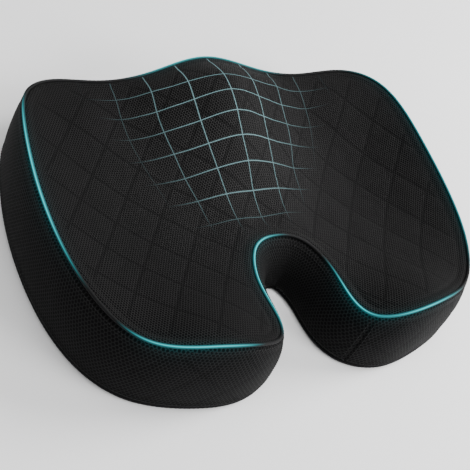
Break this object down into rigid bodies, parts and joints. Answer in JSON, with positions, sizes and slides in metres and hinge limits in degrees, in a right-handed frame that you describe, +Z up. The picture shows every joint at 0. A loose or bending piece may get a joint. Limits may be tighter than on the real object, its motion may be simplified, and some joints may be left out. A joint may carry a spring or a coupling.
{
  "type": "contoured seat cushion",
  "caption": "U-shaped foam seat cushion with a front pommel, thigh troughs, raised sides and a rear notch, in a zipped mesh cover with piped edges",
  "frame": {"origin": "bottom centre of the bounding box, on the surface the cushion lies on", "axes": "+Y towards the front (thigh) edge with the pommel, the rear notch opens towards -Y, +X to the sitter's right, +Z up"},
  "size_m": [0.4536, 0.337, 0.0946],
  "materials": {
    "memory_foam": "open-cell moulded foam, soft and matte",
    "liner_knit": "thin stretch knit",
    "air_mesh": "black spacer mesh with small round holes and embossed diamond lines, matte",
    "grip_fabric": "black woven base fabric with small rubber grip dots",
    "edge_piping": "thin piping, bright teal in stretches that fade to black",
    "seam_cord": "thin black sewn cord",
    "zip_tape": "black woven tape",
    "zip_nylon": "black nylon coil, satin",
    "zip_metal": "black painted zinc, semi-gloss",
    "label_satin": "blank off-white satin ribbon"
  },
  "bodies": {
    "root": {"foam_core": "memory_foam", "inner_liner": "liner_knit", "cover_top_panel": "air_mesh", "band_right": "air_mesh", "band_left": "air_mesh", "band_notch": "air_mesh", "band_front_upper": "air_mesh", "band_front_lower": "air_mesh", "cover_bottom_panel": "grip_fabric", "piping_top": "edge_piping", "welt_bottom": "seam_cord", "zip_tape_upper": "zip_tape", "zip_tape_lower": "zip_tape", "zip_coil_upper": "zip_nylon", "zip_coil_lower": "zip_nylon", "zip_stop_open": "zip_metal", "zip_stop_closed": "zip_metal", "zip_end_left": "air_mesh", "zip_end_right": "air_mesh", "care_label": "label_satin"},
    "slider": {"zip_slider": "zip_metal"},
    "pull": {"zip_pull": "zip_metal"}
  },
  "joints": [
    {"name": "zip_run", "type": "hinge", "parent": "root", "child": "slider", "pos_m": [0, -0.5315, 0.03], "axis": [0, 0, 1], "range_deg": [0, 15]},
    {"name": "pull_flip", "type": "hinge", "parent": "slider", "child": "pull", "pos_m": [0.09223, 0.16416, 0.03], "axis": [0, 0, -1], "range_deg": [0, 170]}
  ]
}
